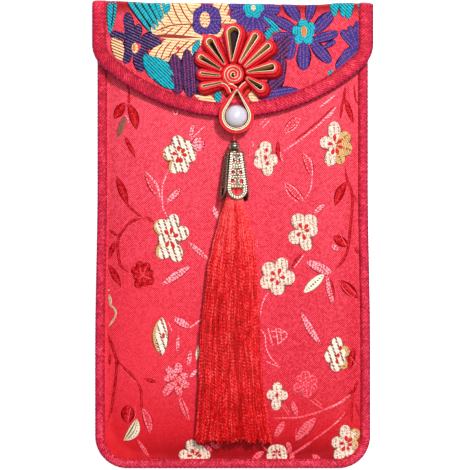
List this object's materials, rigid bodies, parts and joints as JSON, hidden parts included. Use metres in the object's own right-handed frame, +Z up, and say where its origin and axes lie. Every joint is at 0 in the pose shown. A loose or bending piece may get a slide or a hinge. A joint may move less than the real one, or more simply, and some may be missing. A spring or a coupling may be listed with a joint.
{
  "type": "silk brocade envelope pouch",
  "caption": "Flat bound brocade pouch with a folded flap, a flower frog knot looped round a pearl, and a silk tassel under a pierced metal cap.",
  "frame": {"origin": "centre of the pouch on the surface that it lies on", "axes": "+Z up out of the front, +Y along the pouch towards the fold of the flap, +X to the right"},
  "size_m": [0.108, 0.18, 0.0189],
  "materials": {
    "brocade": "red silk brocade with woven blossoms, satin sheen",
    "flap_brocade": "red silk brocade with purple, turquoise and cream flowers",
    "ribbon": "red woven binding ribbon",
    "knot_red": "red satin strip standing on edge",
    "knot_gold": "gold metallic strip with a bright cord edge",
    "pearl": "white pearl lustre",
    "metal": "pale antique gilt, darkened in the recesses",
    "silk": "bright red twisted silk thread"
  },
  "bodies": {
    "root": {"back_panel": "brocade", "front_panel": "brocade", "flap": "flap_brocade", "edge_binding": "ribbon", "flap_binding": "ribbon", "frog_rosette": "knot_red", "rosette_piping": "knot_gold", "frog_loop": "knot_red", "loop_piping": "knot_gold", "pearl": "pearl", "tassel_cord": "silk", "tassel_bead": "metal", "tassel_cap": "metal", "tassel_skirt": "silk", "petal_1": "knot_red", "petal_lining_1": "knot_gold", "petal_2": "knot_red", "petal_lining_2": "knot_gold", "petal_3": "knot_red", "petal_lining_3": "knot_gold", "petal_4": "knot_red", "petal_lining_4": "knot_gold", "petal_5": "knot_red", "petal_lining_5": "knot_gold", "petal_6": "knot_red", "petal_lining_6": "knot_gold", "petal_7": "knot_red", "petal_lining_7": "knot_gold", "petal_8": "knot_red", "petal_lining_8": "knot_gold", "petal_9": "knot_red", "petal_lining_9": "knot_gold"}
  },
  "joints": []
}
